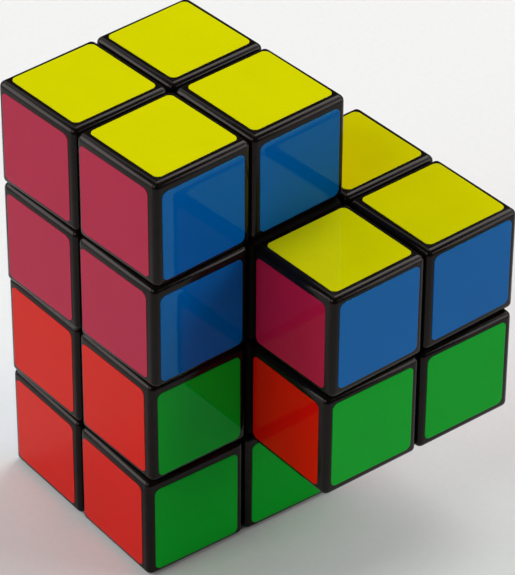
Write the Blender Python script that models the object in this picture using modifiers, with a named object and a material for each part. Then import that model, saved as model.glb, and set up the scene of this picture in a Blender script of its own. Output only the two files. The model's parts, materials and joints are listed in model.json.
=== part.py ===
"""A chain of three fused 2x2x2 twisty puzzle cubes.

Two cubes stand on each other as a square tower. The third hangs on the tower's right back edge,
one cubie above the floor, and shares one corner cubie with each tower cube.

Metres, +Z up, -Y to the front. The origin is on the floor, under the middle of the whole object.
The object turns about three upright axes: the tower's axis under its bottom layer and over its
top layer, and the side cube's axis between its two layers.
"""

import math
from itertools import product

import bmesh
import bpy
from mathutils import Matrix, Vector

MM = 0.001

# The cubies
PITCH = 25.0 * MM            # from one cubie to the next, in all three directions
CUBIE_GAP = 0.4 * MM         # between the faces of two neighbours
CUBIE_SIZE = PITCH - CUBIE_GAP
EDGE_ROUND = 1.4 * MM        # radius of a cubie's rounded edges
EDGE_STEPS = 3

# How far each group of cubies stands turned out of line, in degrees about its own upright axis
BASE_TURN = -1.5             # the bottom layer, against the layer above it
UPPER_TURN = 1.6             # everything above the side cube's middle, against what is below it
TOP_TURN = 1.0               # the top layer, against the layer below it

# The ball mechanism in each cube: radii from the cube's centre
HUB_RADIUS = 8.0 * MM        # the solid ball that the screws go into
FOOT_INNER = 8.8 * MM        # the cubies' feet turn around the hub ...
FOOT_OUTER = 10.8 * MM       # ... and are held under the seats
SEAT_INNER = 11.1 * MM
SEAT_OUTER = 16.3 * MM
SOCKET_RADIUS = 17.4 * MM    # the hollow in the cubies' inner corners, around the seats
SEAT_ANGLE = math.radians(27)    # half of the cone that a seat fills
STEM_ANGLE = math.radians(29)    # a foot's stem keeps this far from the planes between the cubies
FOOT_EDGE = 2.0 * MM         # a foot's distance from those planes, to clear necks and screws
NECK_RADIUS = 1.5 * MM       # joins a fixed seat to the hub
STEM_START = 9.7 * MM        # along the cubie's diagonal, inside the foot
STEM_END = 18.4 * MM         # along the cubie's diagonal, inside the cubie

# A turning seat is held by a screw with a spring under its head
BORE_RADIUS = 1.4 * MM
COUNTERBORE_RADIUS = 2.8 * MM
COUNTERBORE_FLOOR = 12.2 * MM
SHANK_RADIUS = 1.0 * MM
SHANK_TIP = 4.2 * MM         # distances of the screw's parts from the cube's centre
SHANK_POINT = 3.4 * MM
HEAD_BOTTOM = 14.8 * MM
HEAD_TOP = 16.1 * MM
HEAD_RADIUS = 2.4 * MM
SCREW_HOLE_RADIUS = 1.35 * MM
SCREW_HOLE_FLOOR = 2.9 * MM
WIRE_RADIUS = 0.25 * MM
COIL_RADIUS = 2.05 * MM
COIL_BOTTOM = 12.75 * MM     # of the wire's middle
COIL_TOP = 14.25 * MM
COIL_TURNS = 2.5

# Fineness of the round shapes
BALL_SEGMENTS = 16
TURNED_STEPS = 12
COIL_STEPS = 8               # points in one turn of a spring
ARC_STEPS = 3                # straight runs in the arc of a turned profile
MERGE_DISTANCE = 0.01 * MM
SHARP_ANGLE = math.radians(40)

# Where the cubes' centres are, counted in cubies from the tower's outer bottom corner
CUBE_CENTRES = {"bottom": (1, 1, 1), "top": (1, 1, 3), "side": (2, 2, 2)}
CHAIN_MIDDLE = (1.5, 1.5)
# The corner at which a cube's hub is locked to a fused cubie by its three fixed seats
LOCKED_CORNER = {"bottom": (1, 1, 1), "top": (1, 1, -1), "side": (-1, -1, -1)}
HUB_GROUP = {"bottom": "lower_group", "top": "upper_group", "side": "lower_group"}
# The turning seat on a cube's free upright side goes round with this group
FREE_UPRIGHT_GROUP = {"bottom": "base_layer", "top": "top_layer", "side": "upper_group"}
LAYER_GROUPS = ("base_layer", "lower_group", "upper_group", "top_layer")

SIDE_NAMES = (("left", "right"), ("front", "back"), ("lower", "upper"))

# Colour, roughness and metallic value
BLACK_PLASTIC = ("black_plastic", (0.012, 0.011, 0.010), 0.28, 0.0)
HUB_PLASTIC = ("hub_plastic", (0.45, 0.45, 0.43), 0.45, 0.0)
SEAT_PLASTIC = ("seat_plastic", (0.030, 0.030, 0.032), 0.40, 0.0)
SCREW_STEEL = ("screw_steel", (0.42, 0.41, 0.39), 0.30, 1.0)
SPRING_STEEL = ("spring_steel", (0.55, 0.55, 0.54), 0.25, 1.0)


def make_material(name, colour, roughness, metallic):
    material = bpy.data.materials.new(name)
    material.use_nodes = True
    shader = material.node_tree.nodes["Principled BSDF"]
    shader.inputs["Base Color"].default_value = (*colour, 1.0)
    shader.inputs["Roughness"].default_value = roughness
    shader.inputs["Metallic"].default_value = metallic
    return material


def clear_scene():
    for item in list(bpy.data.objects):
        bpy.data.objects.remove(item)


def make_collection(name):
    collection = bpy.data.collections.new(name)
    bpy.context.scene.collection.children.link(collection)
    return collection


# Shaping: every shape is made once as a blank with modifiers, and its copies share the mesh

def blank_from_bmesh(name, bm, shapes):
    mesh = bpy.data.meshes.new(name)
    bm.to_mesh(mesh)
    bm.free()
    blank = bpy.data.objects.new(name, mesh)
    blank.hide_render = True
    blank.display_type = "WIRE"
    shapes.objects.link(blank)
    return blank


def make_ball(name, radius, shapes):
    bm = bmesh.new()
    bmesh.ops.create_uvsphere(
        bm, u_segments=BALL_SEGMENTS, v_segments=BALL_SEGMENTS // 2, radius=radius
    )
    return blank_from_bmesh(name, bm, shapes)


def make_box(name, low, size, shapes):
    """A cube with its lowest corner at (low, low, low)."""
    bm = bmesh.new()
    middle = Vector((low + size / 2,) * 3)
    bmesh.ops.create_cube(bm, size=size, matrix=Matrix.Translation(middle))
    return blank_from_bmesh(name, bm, shapes)


def combine(blank, operation, tool):
    modifier = blank.modifiers.new(tool.name, "BOOLEAN")
    modifier.operation = operation
    modifier.solver = "EXACT"
    modifier.object = tool


def finished_mesh(blank, material):
    """The blank's mesh with its modifiers carried out and its flat and round faces shaded."""
    evaluated = blank.evaluated_get(bpy.context.evaluated_depsgraph_get())
    mesh = bpy.data.meshes.new_from_object(evaluated)
    mesh.name = blank.name
    mesh.materials.clear()
    mesh.materials.append(material)
    mesh.shade_smooth()
    mesh.set_sharp_from_angle(angle=SHARP_ANGLE)
    return mesh


def make_foot(shapes):
    """The piece of a ball shell that lies in one corner's eighth of the cube."""
    foot = make_box("foot", FOOT_EDGE, FOOT_OUTER, shapes)
    combine(foot, "INTERSECT", make_ball("foot_outside", FOOT_OUTER, shapes))
    combine(foot, "DIFFERENCE", make_ball("foot_inside", FOOT_INNER, shapes))
    return foot


def make_stem(shapes):
    """A three-sided taper along the corner's diagonal, between the seats on the three axes."""
    low = math.sin(STEM_ANGLE)
    edge = Vector((low, low, math.sqrt(1 - 2 * low * low)))
    diagonal = Vector((1, 1, 1)).normalized()
    slope = math.tan(edge.angle(diagonal))
    towards_edge = (edge - edge.dot(diagonal) * diagonal).normalized()
    across = towards_edge.cross(diagonal)
    turn = Matrix((across, towards_edge, diagonal)).transposed().to_4x4()
    middle = Matrix.Translation(diagonal * (STEM_START + STEM_END) / 2)
    bm = bmesh.new()
    bmesh.ops.create_cone(
        bm,
        cap_ends=True,
        segments=3,
        radius1=STEM_START * slope,
        radius2=STEM_END * slope,
        depth=STEM_END - STEM_START,
        matrix=middle @ turn,
    )
    return blank_from_bmesh("stem", bm, shapes)


def opposite_corner_copy(blank, shapes):
    """The same tool for the cube whose centre is at the cubie's far corner."""
    copy = bpy.data.objects.new(f"{blank.name}_opposite", blank.data)
    for modifier in blank.modifiers:
        tool = opposite_corner_copy(modifier.object, shapes)
        combine(copy, modifier.operation, tool)
    copy.matrix_world = Matrix.Translation(Vector((PITCH,) * 3)) @ corner_turn((-1, -1, -1))
    copy.hide_render = True
    copy.display_type = "WIRE"
    shapes.objects.link(copy)
    return copy


def make_cubie(name, fused, shapes):
    """A rounded cube whose inner corner is hollowed around the seats and holds a foot on a stem.

    The cube's centre is at the origin and the cubie is in the corner where x, y and z are above
    zero. A fused cubie belongs to two cubes, and has the hollow and the foot at both ends of its
    diagonal.
    """
    cubie = make_box(name, CUBIE_GAP / 2, CUBIE_SIZE, shapes)
    bevel = cubie.modifiers.new("rounded_edges", "BEVEL")
    bevel.width = EDGE_ROUND
    bevel.segments = EDGE_STEPS
    bevel.limit_method = "NONE"
    tools = {
        "socket": ("DIFFERENCE", make_ball("socket", SOCKET_RADIUS, shapes)),
        "stem": ("UNION", make_stem(shapes)),
        "foot": ("UNION", make_foot(shapes)),
    }
    for operation, tool in tools.values():
        combine(cubie, operation, tool)
    if fused:
        for operation, tool in tools.values():
            combine(cubie, operation, opposite_corner_copy(tool, shapes))
    return cubie


def arc(radius, first, last):
    """Points (outward, upward) on an arc about the cube's centre, by angle from the axis."""
    angles = [first + (last - first) * step / ARC_STEPS for step in range(ARC_STEPS + 1)]
    return [(radius * math.sin(angle), radius * math.cos(angle)) for angle in angles]


def make_turned(name, outline, closed, shapes):
    """Turns an outline around Z. A closed outline makes a ring, an open one ends on the axis."""
    bm = bmesh.new()
    corners = [bm.verts.new((outward, 0, upward)) for outward, upward in outline]
    for start, end in zip(corners, corners[1:]):
        bm.edges.new((start, end))
    if closed:
        bm.edges.new((corners[-1], corners[0]))
    turned = blank_from_bmesh(name, bm, shapes)
    screw = turned.modifiers.new("turned", "SCREW")
    screw.axis = "Z"
    screw.angle = 2 * math.pi
    screw.steps = TURNED_STEPS
    screw.render_steps = TURNED_STEPS
    screw.use_merge_vertices = True
    screw.merge_threshold = MERGE_DISTANCE
    return turned


def make_turning_seat(shapes):
    rim = math.asin(COUNTERBORE_RADIUS / SEAT_OUTER)
    bore = math.asin(BORE_RADIUS / SEAT_INNER)
    outline = [
        *arc(SEAT_OUTER, rim, SEAT_ANGLE),
        *arc(SEAT_INNER, SEAT_ANGLE, bore),
        (BORE_RADIUS, COUNTERBORE_FLOOR),
        (COUNTERBORE_RADIUS, COUNTERBORE_FLOOR),
    ]
    return make_turned("turning_seat", outline, True, shapes)


def make_fixed_seat(shapes):
    """A seat without a bore, on a neck that ends inside the hub."""
    neck = math.asin(NECK_RADIUS / SEAT_INNER)
    neck_end = HUB_RADIUS / 2
    outline = [
        *arc(SEAT_OUTER, 0, SEAT_ANGLE),
        *arc(SEAT_INNER, SEAT_ANGLE, neck),
        (NECK_RADIUS, neck_end),
        (0, neck_end),
    ]
    return make_turned("fixed_seat", outline, False, shapes)


def make_hub(shapes):
    """The ball with fixed seats on +X, +Y and +Z and screw holes from the other three sides."""
    hub = make_ball("hub", HUB_RADIUS, shapes)
    outline = [
        (0, HUB_RADIUS * 1.5),
        (SCREW_HOLE_RADIUS, HUB_RADIUS * 1.5),
        (SCREW_HOLE_RADIUS, SCREW_HOLE_FLOOR),
        (0, SCREW_HOLE_FLOOR),
    ]
    for axis in range(3):
        outward = Vector((0, 0, 0))
        outward[axis] = 1
        seat = make_fixed_seat(shapes)
        seat.matrix_world = axis_turn(outward)
        combine(hub, "UNION", seat)
        hole = make_turned("screw_hole", outline, False, shapes)
        hole.matrix_world = axis_turn(-outward)
        combine(hub, "DIFFERENCE", hole)
    return hub


def make_screw(shapes):
    outline = [
        (0, HEAD_TOP),
        (HEAD_RADIUS, HEAD_TOP),
        (HEAD_RADIUS, HEAD_BOTTOM),
        (SHANK_RADIUS, HEAD_BOTTOM),
        (SHANK_RADIUS, SHANK_TIP),
        (0, SHANK_POINT),
    ]
    return make_turned("screw", outline, False, shapes)


def make_spring_curve(material):
    """A short compression spring around the Z axis."""
    curve = bpy.data.curves.new("spring", "CURVE")
    curve.dimensions = "3D"
    curve.bevel_depth = WIRE_RADIUS
    curve.bevel_resolution = 2
    curve.use_fill_caps = True
    count = round(COIL_TURNS * COIL_STEPS) + 1
    spline = curve.splines.new("POLY")
    spline.points.add(count - 1)
    for index, point in enumerate(spline.points):
        angle = 2 * math.pi * index / COIL_STEPS
        height = COIL_BOTTOM + (COIL_TOP - COIL_BOTTOM) * index / (count - 1)
        point.co = (COIL_RADIUS * math.cos(angle), COIL_RADIUS * math.sin(angle), height, 1)
    curve.materials.append(material)
    return curve


# Placing

def corner_turn(corner):
    """The quarter and half turns that bring the corner (1, 1, 1) to another corner."""
    x, y, z = corner
    start = Vector((1, 1, 1))
    flip = Matrix.Identity(4)
    if z < 0:
        flip = Matrix.Rotation(math.pi, 4, "X")
        start = Vector((1, -1, -1))
    angle = math.atan2(y, x) - math.atan2(start.y, start.x)
    return Matrix.Rotation(angle, 4, "Z") @ flip


def axis_turn(outward):
    """Brings +Z to an outward direction."""
    return outward.to_track_quat("Z", "Y").to_matrix().to_4x4()


def cell_point(u, v, w):
    """The place of a lattice point that is counted in cubies from the tower's outer corner."""
    x = (u - CHAIN_MIDDLE[0]) * PITCH
    y = (v - CHAIN_MIDDLE[1]) * PITCH
    return Vector((x, y, w * PITCH - CUBIE_GAP / 2))


def make_groups(chain):
    """An empty on the turning axis of each group of pieces; each is turned on its parent."""
    tower_axis = cell_point(1, 1, 0)
    side_axis = cell_point(2, 2, 0)
    plan = (
        ("lower_group", None, tower_axis, 0.0),
        ("base_layer", "lower_group", tower_axis, BASE_TURN),
        ("upper_group", "lower_group", side_axis, UPPER_TURN),
        ("top_layer", "upper_group", tower_axis, TOP_TURN),
    )
    pivots = {}
    for name, parent, place, turn in plan:
        empty = bpy.data.objects.new(name, None)
        chain.objects.link(empty)
        empty.location = place
        if parent:
            empty.parent = pivots[parent][0]
            empty.location = place - pivots[parent][1]
        empty.rotation_euler.z = math.radians(turn)
        pivots[name] = (empty, place)
    return pivots


def place_piece(name, data, centre, turn, pivot, chain):
    """A piece turned about a cube's centre, on the empty of the group that it moves with."""
    empty, axis_place = pivot
    piece = bpy.data.objects.new(name, data)
    chain.objects.link(piece)
    piece.parent = empty
    piece.location = centre - axis_place
    piece.rotation_euler = turn.to_euler()
    return piece


def corner_name(corner):
    across, deep, high = (
        names[sign > 0] for names, sign in zip(SIDE_NAMES, corner)
    )
    return f"{high}_{deep}_{across}"


def place_cubies(cubie_mesh, fused_mesh, pivots, chain):
    """Eight cubies round each cube's centre; a cubie in two cubes is placed once, as fused."""
    owners = {}
    for cube, corner in product(CUBE_CENTRES, product((-1, 1), repeat=3)):
        centre = CUBE_CENTRES[cube]
        cell = tuple(place - (sign < 0) for place, sign in zip(centre, corner))
        owners.setdefault(cell, []).append((cube, corner))
    for cell, owner_list in owners.items():
        cube, corner = owner_list[0]
        group = LAYER_GROUPS[cell[2]]
        if len(owner_list) == 1:
            name, mesh = f"{cube}_cubie_{corner_name(corner)}", cubie_mesh
        else:
            name, mesh = f"fused_cubie_{group.split('_')[0]}", fused_mesh
        centre = cell_point(*CUBE_CENTRES[cube])
        place_piece(name, mesh, centre, corner_turn(corner), pivots[group], chain)


def place_mechanism(cube, hub_mesh, seat_mesh, screw_mesh, spring, pivots, chain):
    """A hub, and on its three free sides a turning seat, a screw and a spring."""
    centre = cell_point(*CUBE_CENTRES[cube])
    locked = LOCKED_CORNER[cube]
    hub_pivot = pivots[HUB_GROUP[cube]]
    place_piece(f"{cube}_hub", hub_mesh, centre, corner_turn(locked), hub_pivot, chain)
    for axis in range(3):
        outward = Vector((0, 0, 0))
        outward[axis] = -locked[axis]
        turn = axis_turn(outward)
        side = SIDE_NAMES[axis][outward[axis] > 0]
        upright = axis == 2
        seat_pivot = pivots[FREE_UPRIGHT_GROUP[cube]] if upright else hub_pivot
        place_piece(f"{cube}_seat_{side}", seat_mesh, centre, turn, seat_pivot, chain)
        place_piece(f"{cube}_screw_{side}", screw_mesh, centre, turn, hub_pivot, chain)
        place_piece(f"{cube}_spring_{side}", spring, centre, turn, hub_pivot, chain)


def main():
    clear_scene()
    chain = make_collection("puzzle_cube_chain")
    shapes = make_collection("shapes")

    black = make_material(*BLACK_PLASTIC)
    cubie_mesh = finished_mesh(make_cubie("cubie", False, shapes), black)
    fused_mesh = finished_mesh(make_cubie("fused_cubie", True, shapes), black)
    hub_mesh = finished_mesh(make_hub(shapes), make_material(*HUB_PLASTIC))
    seat_mesh = finished_mesh(make_turning_seat(shapes), make_material(*SEAT_PLASTIC))
    screw_mesh = finished_mesh(make_screw(shapes), make_material(*SCREW_STEEL))
    spring = make_spring_curve(make_material(*SPRING_STEEL))
    for blank in list(shapes.objects):
        bpy.data.objects.remove(blank)
    bpy.data.collections.remove(shapes)

    pivots = make_groups(chain)
    place_cubies(cubie_mesh, fused_mesh, pivots, chain)
    for cube in CUBE_CENTRES:
        place_mechanism(cube, hub_mesh, seat_mesh, screw_mesh, spring, pivots, chain)


main()
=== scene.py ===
"""The looks of a chain of three fused 2x2x2 puzzle cubes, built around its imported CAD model.

The cubies are remade with finely rounded edges, and every outer face gets its vinyl sticker.
Everything is in metres and in the CAD model's frame.
"""

import json
import math
import random
from itertools import product

import bmesh
import bpy
from mathutils import Matrix, Vector


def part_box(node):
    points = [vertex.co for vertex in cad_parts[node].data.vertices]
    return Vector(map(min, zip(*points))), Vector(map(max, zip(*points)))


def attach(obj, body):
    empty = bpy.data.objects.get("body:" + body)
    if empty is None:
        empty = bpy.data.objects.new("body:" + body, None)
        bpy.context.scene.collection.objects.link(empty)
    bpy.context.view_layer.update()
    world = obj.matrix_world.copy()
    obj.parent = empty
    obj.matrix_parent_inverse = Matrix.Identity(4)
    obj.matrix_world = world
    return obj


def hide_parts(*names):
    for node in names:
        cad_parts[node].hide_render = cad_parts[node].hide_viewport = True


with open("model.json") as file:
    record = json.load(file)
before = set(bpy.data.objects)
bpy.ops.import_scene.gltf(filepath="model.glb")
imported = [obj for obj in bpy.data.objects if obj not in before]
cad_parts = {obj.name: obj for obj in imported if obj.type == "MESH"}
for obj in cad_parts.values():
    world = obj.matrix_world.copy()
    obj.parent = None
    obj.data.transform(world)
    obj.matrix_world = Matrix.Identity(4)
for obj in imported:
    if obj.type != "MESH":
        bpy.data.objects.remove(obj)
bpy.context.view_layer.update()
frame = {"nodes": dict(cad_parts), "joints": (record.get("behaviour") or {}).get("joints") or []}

MM = 0.001

# Sizes read from the CAD model: two cubies that stand square to X and Y, one pitch apart
left_low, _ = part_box("bottom_cubie_upper_front_left")
right_low, right_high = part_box("bottom_cubie_upper_front_right")
CUBIE_SIZE = right_high.x - right_low.x
PITCH = right_low.x - left_low.x
CUBIE_GAP = PITCH - CUBIE_SIZE
TOWER_AXIS = next(
    Vector(joint["pos_m"]) for joint in frame["joints"] if joint["name"] == "base_layer_turn"
)
OBJECT_MIDDLE = Vector((0, 0, 2 * PITCH))

# How far each group stands turned out of line in the CAD model, in degrees
BASE_TURN = -1.5
UPPER_TURN = 1.6
TOP_TURN = 1.0

# The cubies' shape, as in the CAD model but finer
EDGE_ROUND = 1.4 * MM
EDGE_STEPS = 6
SOCKET_RADIUS = 17.4 * MM
FOOT_INNER = 8.8 * MM
FOOT_OUTER = 10.8 * MM
FOOT_EDGE = 2.0 * MM
STEM_ANGLE = math.radians(29)
STEM_START = 9.7 * MM
STEM_END = 18.4 * MM
BALL_SEGMENTS = 48
SHARP_ANGLE = math.radians(35)

# The stickers
STICKER_INSET = 1.78 * MM        # from the cubie's face edge to the sticker's edge
STICKER_CORNER = 1.3 * MM
STICKER_CORNER_STEPS = 8
STICKER_THICKNESS = 0.12 * MM
STICKER_EDGE_ROUND = 0.08 * MM
STICKER_EDGE_STEPS = 2
ROUND_PROFILE = 0.5              # a bevel profile that is an arc
STICKER_SHIFT = 0.08 * MM        # how far a sticker may be stuck on out of place
STICKER_SKEW = math.radians(0.3)
PLACING_SEED = 7
# Stickers were also stuck on a little to one side, not the same way on each side of each cube
TOP_DRIFT = Vector((-0.25, 0.25, 0.0)) * MM
FRONT_DRIFT = Vector((-0.15, 0.0, -0.10)) * MM
FRONT_RIGHT_DRIFT = Vector((-0.50, 0.0, -0.15)) * MM
TOWER_RIGHT_DRIFT = Vector((0.0, -0.10, -0.42)) * MM
SIDE_RIGHT_DRIFT = Vector((0.0, -0.15, 0.25)) * MM

# Each cube's centre, counted in cubies from the tower's outer bottom corner
CUBE_CENTRES = {"bottom": (1, 1, 1), "top": (1, 1, 3), "side": (2, 2, 2)}
LAYER_BODIES = ("base_layer", "lower_group", "upper_group", "top_layer")
SIDE_NAMES = (("left", "right"), ("front", "back"), ("lower", "upper"))

# The colour of each outward side, for the half above the side cube's middle and the half below
UPPER_COLOURS = {
    (0, 0, 1): "yellow",
    (0, -1, 0): "magenta",
    (1, 0, 0): "blue",
    (0, 1, 0): "red",
    (-1, 0, 0): "green",
    (0, 0, -1): "white",
}
LOWER_COLOURS = {
    (0, 0, 1): "yellow",
    (0, -1, 0): "red",
    (1, 0, 0): "green",
    (0, 1, 0): "magenta",
    (-1, 0, 0): "blue",
    (0, 0, -1): "white",
}
# Base colour, specular level and specular tint
STICKER_FINISHES = {
    "yellow": ((0.625, 0.617, 0.0), 0.10, (1.0, 1.0, 0.3)),
    "magenta": ((0.400, 0.0080, 0.047), 0.14, (0.9, 0.95, 0.85)),
    "blue": ((0.0, 0.112, 0.420), 0.235, (0.0, 1.0, 0.85)),
    "red": ((0.61, 0.0055, 0.0020), 0.12, (1.0, 0.8, 0.25)),
    "green": ((0.0, 0.392, 0.014), 0.16, (0.0, 1.0, 0.5)),
    "white": ((0.74, 0.74, 0.73), 0.14, (1.0, 1.0, 1.0)),
}
VINYL_GRAIN = 0.03               # how much lighter and darker the vinyl is from spot to spot

# The black plastic's darkest and lightest colour, and the tint of its shine
BLACK_LOW = (0.0042, 0.0032, 0.0027)
BLACK_HIGH = (0.0066, 0.0052, 0.0044)
BLACK_TINT = (1.0, 0.90, 0.86)


# Materials

class Nodes:
    """A short way to add shader nodes and links to a new material."""

    def __init__(self, name):
        self.material = bpy.data.materials.new(name)
        self.material.use_nodes = True
        self.tree = self.material.node_tree
        self.shader = self.tree.nodes["Principled BSDF"]
        self.place = self.add("ShaderNodeTexCoord").outputs["Object"]

    def add(self, kind, **settings):
        node = self.tree.nodes.new(kind)
        for key, value in settings.items():
            setattr(node, key, value)
        return node

    def link(self, output, node_input):
        self.tree.links.new(output, node_input)

    def feed(self, input_name, output):
        """Lets a pattern steer one of the surface's own inputs."""
        self.link(output, self.shader.inputs[input_name])

    def sum(self, first, second):
        node = self.add("ShaderNodeMath", operation="ADD")
        self.link(first, node.inputs[0])
        self.link(second, node.inputs[1])
        return node.outputs["Value"]

    def noise(self, scale, detail, roughness=0.5):
        """A cloudy pattern with about this many clouds to a metre."""
        node = self.add("ShaderNodeTexNoise")
        node.inputs["Scale"].default_value = scale
        node.inputs["Detail"].default_value = detail
        node.inputs["Roughness"].default_value = roughness
        self.link(self.place, node.inputs["Vector"])
        return node.outputs["Fac"]

    def remap(self, value, low, high, from_low=0.3, from_high=0.7):
        """Stretches a pattern's usual range to another one, and cuts off what is past it."""
        node = self.add("ShaderNodeMapRange")
        node.inputs["From Min"].default_value = from_low
        node.inputs["From Max"].default_value = from_high
        node.inputs["To Min"].default_value = low
        node.inputs["To Max"].default_value = high
        self.link(value, node.inputs["Value"])
        return node.outputs["Result"]

    def blend(self, factor, first, second):
        node = self.add("ShaderNodeMix", data_type="RGBA")
        self.link(factor, node.inputs["Factor"])
        node.inputs["A"].default_value = (*first, 1.0)
        node.inputs["B"].default_value = (*second, 1.0)
        return node.outputs["Result"]

    def bump(self, height, distance, under=None):
        """A relief this deep in metres, on top of another one if it is given."""
        node = self.add("ShaderNodeBump")
        node.inputs["Distance"].default_value = distance
        self.link(height, node.inputs["Height"])
        if under is not None:
            self.link(under, node.inputs["Normal"])
        return node.outputs["Normal"]

    def set(self, **values):
        """Gives the surface's inputs values that are the same all over."""
        for name, value in values.items():
            self.shader.inputs[name.replace("_", " ")].default_value = value


def scaled(colour, factor):
    return tuple(channel * factor for channel in colour)


def vinyl_material(name, colour, gloss, tint):
    """Glossy printed vinyl: even colour with a faint grain, and a skin that is slightly wavy."""
    nodes = Nodes(name)
    speckle = nodes.sum(nodes.noise(90, 4.0), nodes.noise(3000, 2.0))
    mottle = nodes.remap(speckle, 0.0, 1.0, 0.75, 1.25)
    darker, lighter = scaled(colour, 1 - VINYL_GRAIN), scaled(colour, 1 + VINYL_GRAIN)
    nodes.feed("Base Color", nodes.blend(mottle, darker, lighter))
    nodes.feed("Roughness", nodes.remap(nodes.noise(160, 3.0), 0.02, 0.05))
    waves = nodes.bump(nodes.noise(110, 1.0), 0.02 * MM)
    grain = nodes.bump(nodes.noise(2600, 2.0), 0.0012 * MM, under=waves)
    nodes.feed("Normal", grain)
    nodes.set(Specular_IOR_Level=gloss, Specular_Tint=(*tint, 1.0))
    return nodes.material


def black_plastic_material(name, smoothest, roughest, gloss):
    """Moulded black plastic with a fine texture, a little smoother in some spots than others."""
    nodes = Nodes(name)
    mottle = nodes.remap(nodes.noise(300, 4.0), 0.0, 1.0)
    nodes.feed("Base Color", nodes.blend(mottle, BLACK_LOW, BLACK_HIGH))
    nodes.feed("Roughness", nodes.remap(nodes.noise(420, 5.0), smoothest, roughest))
    flow = nodes.bump(nodes.noise(180, 2.0), 0.03 * MM)
    texture = nodes.bump(nodes.noise(3200, 3.0, 0.6), 0.004 * MM, under=flow)
    nodes.feed("Normal", texture)
    nodes.set(Specular_IOR_Level=gloss, Specular_Tint=(*BLACK_TINT, 1.0))
    return nodes.material


def moulded_material(name, colour, roughness):
    """Plain moulded plastic for the hidden pieces of the mechanism."""
    nodes = Nodes(name)
    mottle = nodes.remap(nodes.noise(250, 3.0), 0.0, 1.0)
    nodes.feed("Base Color", nodes.blend(mottle, scaled(colour, 0.9), scaled(colour, 1.08)))
    patches = nodes.remap(nodes.noise(500, 3.0), roughness - 0.06, roughness + 0.08)
    nodes.feed("Roughness", patches)
    nodes.feed("Normal", nodes.bump(nodes.noise(1800, 3.0), 0.006 * MM))
    return nodes.material


def metal_material(name, colour, roughness):
    """Plated steel, faintly mottled."""
    nodes = Nodes(name)
    mottle = nodes.remap(nodes.noise(700, 4.0), 0.0, 1.0)
    nodes.feed("Base Color", nodes.blend(mottle, scaled(colour, 0.82), scaled(colour, 1.05)))
    patches = nodes.remap(nodes.noise(900, 4.0), roughness - 0.08, roughness + 0.12)
    nodes.feed("Roughness", patches)
    nodes.feed("Normal", nodes.bump(nodes.noise(2400, 2.0), 0.003 * MM))
    nodes.set(Metallic=1.0)
    return nodes.material


# Where the cubies are

def cell_point(u, v, w):
    """A lattice point, counted in cubies from the tower's outer bottom corner, all in line."""
    x = TOWER_AXIS.x + (u - 1) * PITCH
    y = TOWER_AXIS.y + (v - 1) * PITCH
    return Vector((x, y, w * PITCH - CUBIE_GAP / 2))


def turn_about(place, degrees):
    """A turn about the upright line through a place."""
    flat = Vector((place.x, place.y, 0))
    turn = Matrix.Rotation(math.radians(degrees), 4, "Z")
    return Matrix.Translation(flat) @ turn @ Matrix.Translation(-flat)


def layer_turns():
    """For each layer from the bottom up, how it stands turned out of line."""
    upper = turn_about(cell_point(2, 2, 0), UPPER_TURN)
    return (
        turn_about(cell_point(1, 1, 0), BASE_TURN),
        Matrix.Identity(4),
        upper,
        upper @ turn_about(cell_point(1, 1, 0), TOP_TURN),
    )


LAYER_TURNS = layer_turns()


def corner_turn(corner):
    """The turn that brings the corner (1, 1, 1) to another corner of the same cube."""
    x, y, z = corner
    start = Vector((1, 1, 1))
    flip = Matrix.Identity(4)
    if z < 0:
        flip = Matrix.Rotation(math.pi, 4, "X")
        start = Vector((1, -1, -1))
    angle = math.atan2(y, x) - math.atan2(start.y, start.x)
    return Matrix.Rotation(angle, 4, "Z") @ flip


def corner_name(corner):
    """What a corner is called in the names of nodes and pieces."""
    across, deep, high = (names[sign > 0] for names, sign in zip(SIDE_NAMES, corner))
    return f"{high}_{deep}_{across}"


def cell_owners():
    """Each cell of the chain, with the cubes and corners that it belongs to."""
    owners = {}
    for cube, corner in product(CUBE_CENTRES, product((-1, 1), repeat=3)):
        cell = tuple(place - (sign < 0) for place, sign in zip(CUBE_CENTRES[cube], corner))
        owners.setdefault(cell, []).append((cube, corner))
    return owners


# Shaping

def new_object(name, data):
    made = bpy.data.objects.new(name, data)
    bpy.context.scene.collection.objects.link(made)
    return made


def mesh_from_bmesh(name, bm):
    mesh = bpy.data.meshes.new(name)
    bm.to_mesh(mesh)
    bm.free()
    return mesh


def make_ball(name, radius):
    """A ball round the cube's centre."""
    bm = bmesh.new()
    bmesh.ops.create_uvsphere(
        bm, u_segments=BALL_SEGMENTS, v_segments=BALL_SEGMENTS // 2, radius=radius
    )
    return new_object(name, mesh_from_bmesh(name, bm))


def make_box(name, low, size):
    """A cube whose lowest corner is at the same distance along X, Y and Z."""
    bm = bmesh.new()
    middle = Matrix.Translation(Vector((low + size / 2,) * 3))
    bmesh.ops.create_cube(bm, size=size, matrix=middle)
    return new_object(name, mesh_from_bmesh(name, bm))


def combine(blank, operation, tool):
    """Adds a tool's shape to a blank, cuts it off or keeps what they share."""
    modifier = blank.modifiers.new(tool.name, "BOOLEAN")
    modifier.operation = operation
    modifier.object = tool


def finished_mesh(blank):
    """A blank's mesh with its modifiers applied."""
    evaluated = blank.evaluated_get(bpy.context.evaluated_depsgraph_get())
    mesh = bpy.data.meshes.new_from_object(evaluated)
    mesh.name = blank.name
    return mesh


def make_foot():
    """The cubie's foot: an eighth of a hollow ball, which the turning seats hold."""
    foot = make_box("foot", FOOT_EDGE, FOOT_OUTER)
    outside = make_ball("foot_outside", FOOT_OUTER)
    inside = make_ball("foot_inside", FOOT_INNER)
    combine(foot, "INTERSECT", outside)
    combine(foot, "DIFFERENCE", inside)
    mesh = finished_mesh(foot)
    for blank in (foot, outside, inside):
        bpy.data.objects.remove(blank)
    return new_object("foot", mesh)


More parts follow.
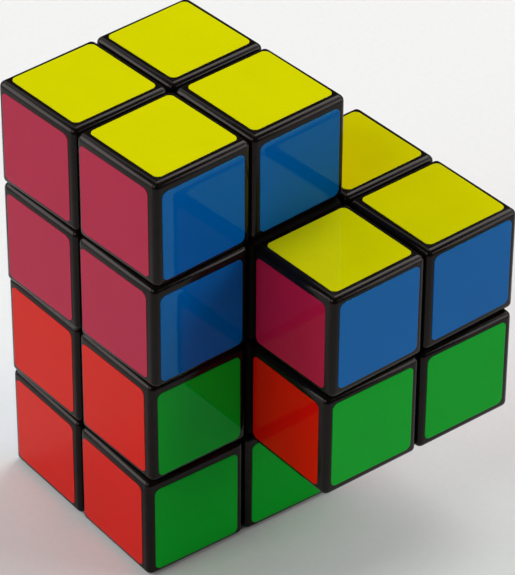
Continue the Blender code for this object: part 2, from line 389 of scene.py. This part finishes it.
def make_stem():
    """The stem from foot to cubie: a three-sided cone that would taper to the cube's centre."""
    low = math.sin(STEM_ANGLE)
    edge = Vector((low, low, math.sqrt(1 - 2 * low * low)))
    diagonal = Vector((1, 1, 1)).normalized()
    slope = math.tan(edge.angle(diagonal))
    towards_edge = (edge - edge.dot(diagonal) * diagonal).normalized()
    across = towards_edge.cross(diagonal)
    turn = Matrix((across, towards_edge, diagonal)).transposed().to_4x4()
    middle = Matrix.Translation(diagonal * (STEM_START + STEM_END) / 2)
    bm = bmesh.new()
    bmesh.ops.create_cone(
        bm,
        cap_ends=True,
        segments=3,
        radius1=STEM_START * slope,
        radius2=STEM_END * slope,
        depth=STEM_END - STEM_START,
        matrix=middle @ turn,
    )
    return new_object("stem", mesh_from_bmesh("stem", bm))


def opposite_copy(blank):
    """The same tool for the cube whose centre is at the cubie's far corner."""
    copy = new_object(f"{blank.name}_opposite", blank.data)
    copy.matrix_world = Matrix.Translation(Vector((PITCH,) * 3)) @ corner_turn((-1, -1, -1))
    return copy


def cubie_mesh(name, fused):
    """A cubie in the corner where x, y and z are above zero, with its cube's centre at 0, 0, 0."""
    cubie = make_box(name, CUBIE_GAP / 2, CUBIE_SIZE)
    bevel = cubie.modifiers.new("rounded_edges", "BEVEL")
    bevel.width = EDGE_ROUND
    bevel.segments = EDGE_STEPS
    bevel.limit_method = "NONE"
    tools = [
        ("DIFFERENCE", make_ball("socket", SOCKET_RADIUS)),
        ("UNION", make_stem()),
        ("UNION", make_foot()),
    ]
    if fused:
        tools += [(operation, opposite_copy(tool)) for operation, tool in tools]
    for operation, tool in tools:
        combine(cubie, operation, tool)
    mesh = finished_mesh(cubie)
    for blank in [cubie, *(tool for _, tool in tools)]:
        bpy.data.objects.remove(blank)
    mesh.shade_smooth()
    mesh.set_sharp_from_angle(angle=SHARP_ANGLE)
    return mesh


def sticker_outline():
    """Corners of a square with rounded corners, anticlockwise round the origin."""
    half = CUBIE_SIZE / 2 - STICKER_INSET
    inner = half - STICKER_CORNER
    points = []
    for quarter, (x, y) in enumerate(((1, 1), (-1, 1), (-1, -1), (1, -1))):
        for step in range(STICKER_CORNER_STEPS + 1):
            angle = math.pi / 2 * (quarter + step / STICKER_CORNER_STEPS)
            points.append((
                x * inner + STICKER_CORNER * math.cos(angle),
                y * inner + STICKER_CORNER * math.sin(angle),
            ))
    return points


def sticker_mesh():
    """A thin rounded square whose upper edge is softened. Its back lies at z = 0."""
    bm = bmesh.new()
    face = bm.faces.new([bm.verts.new((x, y, 0)) for x, y in sticker_outline()])
    raised = bmesh.ops.extrude_face_region(bm, geom=[face])["geom"]
    top_verts = [part for part in raised if isinstance(part, bmesh.types.BMVert)]
    bmesh.ops.translate(bm, verts=top_verts, vec=(0, 0, STICKER_THICKNESS))
    bmesh.ops.recalc_face_normals(bm, faces=bm.faces)
    rim = [
        edge for edge in bm.edges
        if all(vert.co.z > STICKER_THICKNESS / 2 for vert in edge.verts)
    ]
    bmesh.ops.bevel(
        bm,
        geom=rim,
        offset=STICKER_EDGE_ROUND,
        segments=STICKER_EDGE_STEPS,
        affect="EDGES",
        profile=ROUND_PROFILE,
    )
    return mesh_from_bmesh("sticker", bm)


# Pieces

def add_piece(name, mesh, matrix, material, body):
    """A piece whose place is in its mesh, so that its surface pattern is its own."""
    data = mesh.copy()
    data.name = name
    data.transform(matrix)
    data.materials.clear()
    data.materials.append(material)
    piece = new_object(name, data)
    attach(piece, body)
    return piece


def add_cubies():
    """A finely rounded shell for every cubie. The two fused ones get a barely reflecting copy of
    the plastic, which paints shade into the crevice where they show; the others are satin.
    """
    satin = black_plastic_material(
        "black_plastic_satin", smoothest=0.10, roughest=0.19, gloss=0.155
    )
    # Painted shade: a dull, barely reflecting copy of the black plastic that darkens the fused
    # cubies' edges in the crevice between the tower and the side cube
    matt_painted_shade = black_plastic_material(
        "black_plastic_matt_painted_shade", smoothest=0.45, roughest=0.60, gloss=0.02
    )
    plain = cubie_mesh("cubie", fused=False)
    fused = cubie_mesh("fused_cubie", fused=True)
    for cell, owner_list in cell_owners().items():
        cube, corner = owner_list[0]
        body = LAYER_BODIES[cell[2]]
        if len(owner_list) == 1:
            node, mesh, plastic = f"{cube}_cubie_{corner_name(corner)}", plain, satin
        else:
            # The fused cubies take the copy with painted shade, which keeps the crevice dark
            node, mesh, plastic = f"fused_cubie_{body.split('_')[0]}", fused, matt_painted_shade
        centre = Matrix.Translation(cell_point(*CUBE_CENTRES[cube]))
        matrix = LAYER_TURNS[cell[2]] @ centre @ corner_turn(corner)
        piece = add_piece(f"{node}_shell", mesh, matrix, plastic, body)
        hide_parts(node)


def sticker_drift(cube, corner, outward):
    """How far the stickers of this side of this cube sit from the middle of their faces."""
    if outward == (0, 0, 1):
        return TOP_DRIFT
    if outward == (0, -1, 0):
        return FRONT_RIGHT_DRIFT if corner[0] > 0 else FRONT_DRIFT
    if outward == (1, 0, 0):
        return SIDE_RIGHT_DRIFT if cube == "side" else TOWER_RIGHT_DRIFT
    return Vector((0, 0, 0))


def add_stickers(vinyls):
    """A sticker on every face of a cubie that is an outer face of its cube."""
    placing = random.Random(PLACING_SEED)
    mesh = sticker_mesh()
    for cell, owner_list in cell_owners().items():
        if len(owner_list) > 1:
            continue
        cube, corner = owner_list[0]
        colours = UPPER_COLOURS if cell[2] >= CUBE_CENTRES["side"][2] else LOWER_COLOURS
        middle = cell_point(*(place + 0.5 for place in cell))
        for axis in range(3):
            outward = tuple(corner[axis] * (index == axis) for index in range(3))
            colour = colours[outward]
            drift = sticker_drift(cube, corner, outward)
            across, along = (placing.uniform(-1, 1) * STICKER_SHIFT for _ in range(2))
            skew = placing.uniform(-1, 1) * STICKER_SKEW
            matrix = (
                LAYER_TURNS[cell[2]]
                @ Matrix.Translation(middle + Vector(outward) * CUBIE_SIZE / 2 + drift)
                @ Vector(outward).to_track_quat("Z", "Y").to_matrix().to_4x4()
                @ Matrix.Translation((across, along, 0))
                @ Matrix.Rotation(skew, 4, "Z")
            )
            side = SIDE_NAMES[axis][corner[axis] > 0]
            name = f"{cube}_sticker_{corner_name(corner)}_{side}_face"
            add_piece(
                name, mesh, matrix, vinyls[colour], LAYER_BODIES[cell[2]]
            )


def dress_mechanism():
    """Better materials for the CAD nodes inside the cubes."""
    materials = {
        "_hub": moulded_material("hub_nylon", (0.45, 0.45, 0.43), roughness=0.45),
        "_seat_": moulded_material("cap_plastic_dark", (0.030, 0.030, 0.032), roughness=0.38),
        "_screw_": metal_material("zinc_screw", (0.42, 0.41, 0.39), roughness=0.30),
        "_spring_": metal_material("spring_wire", (0.55, 0.55, 0.54), roughness=0.24),
    }
    for name, node in frame["nodes"].items():
        for part, material in materials.items():
            if part in name:
                node.data.materials.clear()
                node.data.materials.append(material)


# Stage, lights and camera

FLOOR_REACH = 3.0                # from its middle to each edge
FLOOR_LOW = (0.79, 0.79, 0.785)
FLOOR_HIGH = (0.81, 0.81, 0.805)


def add_floor():
    """A plain pale floor, under the stickers on the lowest cubies' undersides."""
    bm = bmesh.new()
    bmesh.ops.create_grid(bm, x_segments=8, y_segments=8, size=FLOOR_REACH)
    mesh = mesh_from_bmesh("floor", bm)
    floor = new_object("floor", mesh)
    floor.location.z = -STICKER_THICKNESS
    nodes = Nodes("pale_floor")
    grain = nodes.remap(nodes.noise(700, 4.0), 0.0, 1.0)
    nodes.feed("Base Color", nodes.blend(grain, FLOOR_LOW, FLOOR_HIGH))
    nodes.set(Roughness=0.9, Specular_IOR_Level=0.1)
    mesh.materials.append(nodes.material)


LIGHT_DISTANCE = 1.2
LIGHT_SIZE = 0.66
# Azimuth from the front towards the right, elevation, both in degrees, and power in watts
SOFTBOXES = {
    "left": (-90, 40, 1.8),
    "low_left": (-48, 26, 6.3),
    "low_front": (-30, 12, 1.7),
    "front": (0, 40, 4.0),
    "right_back": (138, 20, 5.4),
    "behind": (170, 35, 2.3),
    "back": (195, 50, 6.2),
    "high_left": (-135, 65, 1.8),
}
ROOM_LIGHT = 0.02


def direction(azimuth, elevation):
    """A unit vector at an azimuth from the front (-Y) towards the right, and an elevation."""
    level = math.cos(elevation)
    return Vector((math.sin(azimuth) * level, -math.cos(azimuth) * level, math.sin(elevation)))


def add_lights():
    """Soft boxes round the object, all turned to its middle, and a little light from all over."""
    for name, (azimuth, elevation, power) in SOFTBOXES.items():
        outward = direction(math.radians(azimuth), math.radians(elevation))
        light = bpy.data.lights.new(name, "AREA")
        light.size = LIGHT_SIZE
        light.energy = power
        lamp = new_object(name, light)
        lamp.location = OBJECT_MIDDLE + outward * LIGHT_DISTANCE
        lamp.rotation_euler = (-outward).to_track_quat("-Z", "Y").to_euler()
    world = bpy.data.worlds.new("room")
    bpy.context.scene.world = world
    world.use_nodes = True
    background = world.node_tree.nodes["Background"]
    background.inputs["Color"].default_value = (1, 1, 1, 1)
    background.inputs["Strength"].default_value = ROOM_LIGHT


CAMERA_AZIMUTH = math.radians(51.46)
CAMERA_ELEVATION = math.radians(36.19)
CAMERA_ROLL = math.radians(0.31)
CAMERA_DISTANCE = 0.7940
CAMERA_LENS = 240.0              # in millimetres, like the sensor's width
CAMERA_SENSOR = 36.0
CAMERA_NEAR = 10 * MM
CAMERA_RISE = 0.8 * MM           # how far the view's middle is above the object's middle ...
CAMERA_SIDE = -0.25 * MM         # ... and to its right


def add_camera():
    """The camera, which looks at the object's middle from afar and is rolled a little."""
    back = direction(CAMERA_AZIMUTH, CAMERA_ELEVATION)
    facing = (-back).to_track_quat("-Z", "Y")
    up = facing @ Vector((0, 1, 0))
    right = facing @ Vector((1, 0, 0))
    middle = OBJECT_MIDDLE + up * CAMERA_RISE + right * CAMERA_SIDE
    data = bpy.data.cameras.new("camera")
    data.lens = CAMERA_LENS
    data.sensor_width = CAMERA_SENSOR
    data.clip_start = CAMERA_NEAR
    camera = new_object("camera", data)
    camera.location = middle + back * CAMERA_DISTANCE
    roll = Matrix.Rotation(CAMERA_ROLL, 3, back)
    camera.rotation_euler = (roll @ facing.to_matrix()).to_euler()
    bpy.context.scene.camera = camera


bpy.context.scene.view_settings.view_transform = "Standard"
add_cubies()
add_stickers({
    name: vinyl_material(f"vinyl_{name}", *finish) for name, finish in STICKER_FINISHES.items()
})
dress_mechanism()
add_floor()
add_lights()
add_camera()
